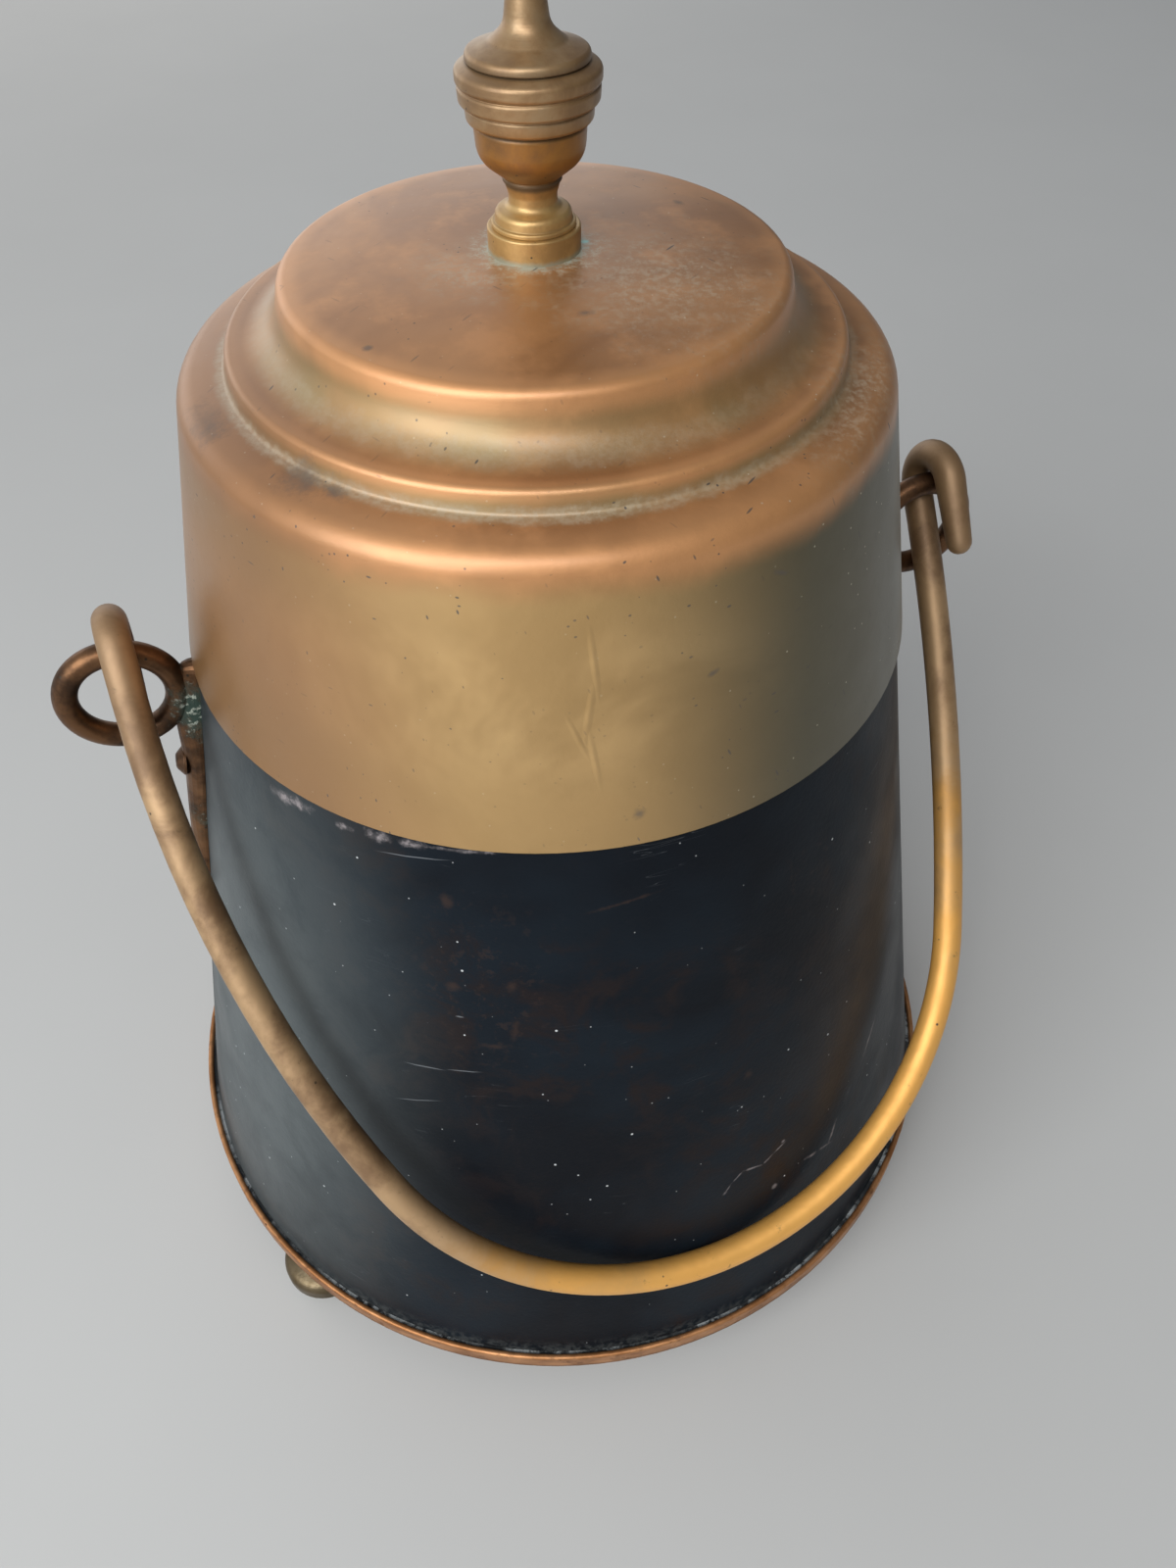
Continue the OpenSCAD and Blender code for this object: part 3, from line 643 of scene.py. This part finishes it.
# Stains, pits, nicks and pale dust.
stain = times(tree, patches(tree, where, shoulder_stains, frayed), band(tree, streaks, 0.35, 0.6, 0.55, 1.0))
nick_places = band(tree, noise(tree, where, 24.0, 2), 0.42, 0.58)
nicks = most_of(tree, needles(tree, where, 0.0090, 0.0025, 0.00034, 0.034, (0, 0, 38)),
                needles(tree, where, 0.0085, 0.0020, 0.00030, 0.032, (0, 0, -62)),
                needles(tree, where, 0.0085, 0.0019, 0.00032, 0.045, (20, 68, 15)),
                times(tree, specks(tree, where, 0.0060, 0.00040, 0.5), 0.7))
nicks = times(tree, nicks, band(tree, nick_places, 0, 1, 0.25, 0.9))
dark = most_of(tree, times(tree, stain, 0.75), times(tree, patches(tree, where, pits, frayed), 0.75), nicks)
colour = blend_colour(tree, dark, colour, lid_stain)
dust = times(tree, specks(tree, where, 0.0034, 0.00030, 0.5), band(tree, right_side, 0, 1, 0.3, 1.0))
dust = most_of(tree, specks(tree, where, 0.0180, 0.00062, 0.6), dust)
colour = blend_colour(tree, times(tree, dust, 0.7), colour, lid_dust)
tree.links.new(colour, shader.inputs["Base Color"])

dimmed = most_of(tree, ash, crust, dark)
tree.links.new(band(tree, dimmed, 0, 1, 0.62, 0.05), shader.inputs["Metallic"])
satin = plus(tree, band(tree, streaks, 0.3, 0.7, 0.46, 0.56), times(tree, dimmed, 0.3))
tree.links.new(satin, shader.inputs["Roughness"])
crease = patches(tree, where, crease_strokes)
relief(tree, shader, (noise(tree, where, 17.0, 2), 0.0010), (crease, 0.00017),
       (noise(tree, where, 700.0, 2, 0.6), 0.00004), (turned_rings(tree, height, out, 420.0), 0.000007))
lid_sheet.data.materials.clear()
lid_sheet.data.materials.append(lid_finish)

# Finial. Brass pieces turned in a lathe, stacked on a stud: collar, pedestal, urn, three
# beads and a bell cap with a small button. Browned all over, brightest on its rounds.
finial_gold = (0.540, 0.350, 0.130, 1)
finial_brown = (0.340, 0.150, 0.024, 1)
finial_deep = (0.210, 0.100, 0.028, 1)
finial_grey = (0.350, 0.262, 0.155, 1)
finial_grime = (0.07, 0.048, 0.026, 1)
pedestal_z = (0.3687, 0.3627)
beads_z = (0.3784, 0.3824)
recess_reach = 0.0016
recesses = (
    (0.0085, 0.3570, recess_reach),
    (0.0066, 0.3668, recess_reach),
    (0.0125, 0.3798, recess_reach),
    (0.0135, 0.3846, recess_reach),
    (0.0138, 0.3890, recess_reach),
    (0.0128, 0.3918, recess_reach),
)
collar_foot_ring = (0.0114, 0.3510, 0.0016)

finial_finish, tree, shader, where = new_finish("finial_brass", metallic=0.6)
varnish(shader, weight=0.5, roughness=0.36)
right, back, height = sides(tree, where)
out = radius_of(tree, right, back)
worn = noise(tree, where, 75, 6, 0.65, 0.3)
colour = blend_colour(tree, band(tree, worn, 0.34, 0.6), finial_deep, finial_brown)
pedestal = times(tree, band(tree, height, *pedestal_z), band(tree, worn, 0.35, 0.6, 0.45, 0.9))
colour = blend_colour(tree, pedestal, colour, finial_gold)
beads = times(tree, band(tree, height, *beads_z), band(tree, worn, 0.35, 0.65, 0.25, 0.7))
colour = blend_colour(tree, beads, colour, finial_grey)
grime = most_of(tree, *[ring_mark(tree, height, out, ring) for ring in recesses])
grime = most_of(tree, times(tree, grime, 0.8), specks(tree, where, 0.004, 0.00035, 0.5))
colour = blend_colour(tree, grime, colour, finial_grime)
crust = ring_mark(tree, height, out, collar_foot_ring, less(tree, noise(tree, where, 260.0, 4, 0.7), 0.4))
colour = blend_colour(tree, times(tree, crust, 0.8), colour, verdigris)
tree.links.new(colour, shader.inputs["Base Color"])
satin = plus(tree, band(tree, worn, 0.3, 0.7, 0.48, 0.38), times(tree, grime, 0.3))
tree.links.new(satin, shader.inputs["Roughness"])
relief(tree, shader, (noise(tree, where, 240, 3), 0.0001), (turned_rings(tree, height, out, 1500.0), 0.00005))
dress(finial_finish, "finial_collar", "finial_pedestal", "finial_urn", "finial_beads", "finial_cap")

# Ears. Brass rods, each bent to a closed eye and forged out to a leaf that two rivets hold.
# Both have a green and white crust where the shank meets the body, thicker on the left one.
ear_brown = (0.160, 0.078, 0.036, 1)
ear_dark = (0.050, 0.026, 0.014, 1)
ear_gold = (0.240, 0.122, 0.055, 1)
ear_grime = (0.05, 0.04, 0.03, 1)
crust_white = (0.52, 0.56, 0.47, 1)
crust_green = (0.032, 0.060, 0.045, 1)
left_crusts = (
    ((-0.1075, -0.0010, 0.2330), (0.0075, 0.0110, 0.0150), 180, 0),
    ((-0.1120, 0.0, 0.1900), (0.007, 0.009, 0.012), 180, 0),
)
right_crusts = (
    ((0.107, 0.0, 0.226), (0.0075, 0.011, 0.014), 0, 0),
)

ear_finish, tree, shader, where = new_finish("ear_brass")
worn = noise(tree, where, 85, 6, 0.65)
crumbs = noise(tree, where, 320, 5, 0.72)
frayed = about_zero(tree, noise(tree, where, 170.0, 4, 0.7), 1.6)
colour = blend_colour(tree, band(tree, worn, 0.35, 0.62), ear_dark, ear_brown)
colour = blend_colour(tree, band(tree, noise(tree, where, 40, 3), 0.52, 0.7, 0, 0.6), colour, ear_gold)
crust = most_of(tree, patches(tree, where, left_crusts, frayed, full=0.35),
                times(tree, patches(tree, where, right_crusts, frayed, full=0.35), 0.6))
colour = blend_colour(tree, crust, colour, crust_green)
colour = blend_colour(tree, times(tree, crust, band(tree, crumbs, 0.53, 0.62)), colour, crust_white)
colour = blend_colour(tree, specks(tree, where, 0.0045, 0.0005, 0.4), colour, ear_grime)
tree.links.new(colour, shader.inputs["Base Color"])
tree.links.new(band(tree, crust, 0, 1, 0.86, 0.05), shader.inputs["Metallic"])
satin = plus(tree, band(tree, worn, 0.3, 0.7, 0.48, 0.36), times(tree, crust, 0.35))
tree.links.new(satin, shader.inputs["Roughness"])
relief(tree, shader, (noise(tree, where, 120, 3), 0.0004), (times(tree, crumbs, crust), 0.0006))
dress(ear_finish, "ear_left", "ear_right", "ear_rivets_left", "ear_rivets_right")

# Bail. One brass rod, drawn round and bent cold to a three-centred bow with a hook at each
# end. The left hook returns behind the rod and the right one in front of it. Hands have kept
# the bottom of the bow golden, and the rest is brown, with painted shade on the hooks.
rod_r = 0.0047
rod_sides = 32
tip_taper = 0.84
hook_bend_r = 0.0091
hinge_z = 0.2574
hook_left = 0.122195
hook_right = 0.128195
hook_tail = 0.019
rod_straight = 0.012
bow_reach = 0.2335
bow_sway = 0.010
bow_r = 0.106995
rest_tilt = radians(37.711)
tip_steps = [radians(a) for a in (14, 32, 50, 70, 90)]
hook_steps = 20
side_steps = 14
bow_steps = 72
bail_brown = (0.440, 0.275, 0.135, 1)
bail_dark = (0.205, 0.112, 0.048, 1)
bail_gold = (0.900, 0.460, 0.098, 1)
bail_spot = (0.10, 0.062, 0.030, 1)
gold_z = (0.155, 0.080)
gold_lean = -0.4
hook_shade_z = (0.232, 0.250)
rub_patch = ((-0.0060, -0.1430, 0.0715), (0.012, 0.0150, 0.0012), -96, 0)


def draw_out(z):
    bpy.ops.mesh.extrude_region_move(TRANSFORM_OT_translate={"value": (0, 0, z)})


def widen(factor, middle):
    bpy.ops.transform.resize(value=(factor, factor, factor), center_override=middle)


def bend(middle, axis, turn, steps):
    """Spin turns clockwise, seen against its axis, so the turn is given the other way round."""
    bpy.ops.mesh.spin(steps=steps, angle=-turn, center=middle, axis=axis)


def side_bend_r(half):
    """The radius of a side of the bow, which meets the bow and the hook without a kink."""
    drop = bow_reach - bow_r - rod_straight
    return (half * half + drop * drop - bow_r * bow_r) / (2 * (half - bow_r))


left_r = side_bend_r(hook_left + bow_sway)
right_r = side_bend_r(hook_right - bow_sway)
bow_x, bow_z = bow_sway, bow_r - bow_reach
left_x, right_x = left_r - hook_left, hook_right - right_r
left_end = atan2(bow_z + rod_straight, bow_x - left_x) % (2 * pi)
right_end = atan2(bow_z + rod_straight, bow_x - right_x) % (2 * pi)
tip_r = rod_r * tip_taper
left_tip_y = 2 * hook_bend_r
right_tip_y = -2 * hook_bend_r
tip_start_z = -hook_tail - tip_r * cos(tip_steps[0])

clear_selection()
bpy.ops.mesh.primitive_circle_add(vertices=rod_sides, radius=tip_r * sin(tip_steps[0]),
                                  location=(-hook_left, left_tip_y, tip_start_z))
bpy.ops.object.transform_apply(location=True, rotation=True, scale=True)
bail_rod = bpy.context.object
bail_rod.name = "bail_rod"
bpy.ops.object.mode_set(mode="EDIT")
bpy.ops.mesh.select_all(action="SELECT")
z = tip_start_z
for before, after in zip(tip_steps, tip_steps[1:]):
    rise = tip_r * (cos(before) - cos(after))
    draw_out(rise)
    z += rise
    widen(sin(after) / sin(before), (-hook_left, left_tip_y, z))
draw_out(hook_tail)
widen(1 / tip_taper, (-hook_left, left_tip_y, 0))
bend((-hook_left, hook_bend_r, 0), (1, 0, 0), pi, hook_steps)
draw_out(-rod_straight)
bend((left_x, 0, -rod_straight), (0, -1, 0), left_end - pi, side_steps)
bend((bow_x, 0, bow_z), (0, -1, 0), right_end - left_end, bow_steps)
bend((right_x, 0, -rod_straight), (0, -1, 0), 2 * pi - right_end, side_steps)
draw_out(rod_straight)
bend((hook_right, -hook_bend_r, 0), (1, 0, 0), pi, hook_steps)
draw_out(-hook_tail)
widen(tip_taper, (hook_right, right_tip_y, -hook_tail))
z = -hook_tail
for before, after in zip(tip_steps[::-1], tip_steps[-2::-1]):
    fall = tip_r * (cos(after) - cos(before))
    draw_out(-fall)
    z -= fall
    widen(sin(after) / sin(before), (hook_right, right_tip_y, z))
bpy.ops.mesh.select_all(action="SELECT")
bpy.ops.mesh.remove_doubles(threshold=1e-6)
bpy.ops.mesh.fill_holes(sides=0)
bpy.ops.mesh.select_all(action="SELECT")
bpy.ops.mesh.normals_make_consistent(inside=False)
bpy.ops.object.mode_set(mode="OBJECT")
bpy.ops.object.shade_smooth()

# The bow hangs a little askew, since its hooks turn opposite ways, and lies against the body.
twist = atan(2 * hook_bend_r / (hook_left + hook_right))
twist_y = (hook_right - hook_left) / 2 * sin(twist)
bail_rod.matrix_world = (Matrix.Translation((0, 0, hinge_z)) @ Matrix.Rotation(-rest_tilt, 4, "X")
                         @ Matrix.Translation((0, -twist_y, 0)) @ Matrix.Rotation(twist, 4, "Z"))
bpy.ops.object.transform_apply(location=True, rotation=True, scale=True)
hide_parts("bail")
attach(bail_rod, "bail")

bail_finish, tree, shader, where = new_finish("bail_brass", metallic=0.5)
varnish(shader, weight=0.5, roughness=0.5)
right, _, height = sides(tree, where)
worn = noise(tree, where, 45, 6, 0.62, 0.3)
colour = blend_colour(tree, band(tree, worn, 0.34, 0.6), bail_dark, bail_brown)
rubbed = plus(tree, plus(tree, height, about_zero(tree, worn, 0.09)), times(tree, right, gold_lean))
colour = blend_colour(tree, band(tree, rubbed, *gold_z, 0, 0.92), colour, bail_gold)
# Painted shade darkens the hooks, where they hang in the ears.
colour = blend_colour(tree, band(tree, height, *hook_shade_z, 0, 0.55), colour, bail_dark)
rub_edge = less(tree, noise(tree, where, 200.0, 4), 0.5)
spots = most_of(tree, times(tree, mark(tree, where, *rub_patch, rub_edge), 0.6),
                specks(tree, where, 0.0060, 0.00055, 0.35),
                band(tree, noise(tree, where, 180, 5, 0.7), 0.62, 0.74, 0, 0.55))
colour = blend_colour(tree, spots, colour, bail_spot)
tree.links.new(colour, shader.inputs["Base Color"])
satin = plus(tree, band(tree, worn, 0.3, 0.7, 0.60, 0.50), times(tree, spots, 0.15))
tree.links.new(satin, shader.inputs["Roughness"])
relief(tree, shader, (noise(tree, where, 70, 3), 0.0005), (noise(tree, where, 600, 2), 0.00004))
bail_rod.data.materials.append(bail_finish)
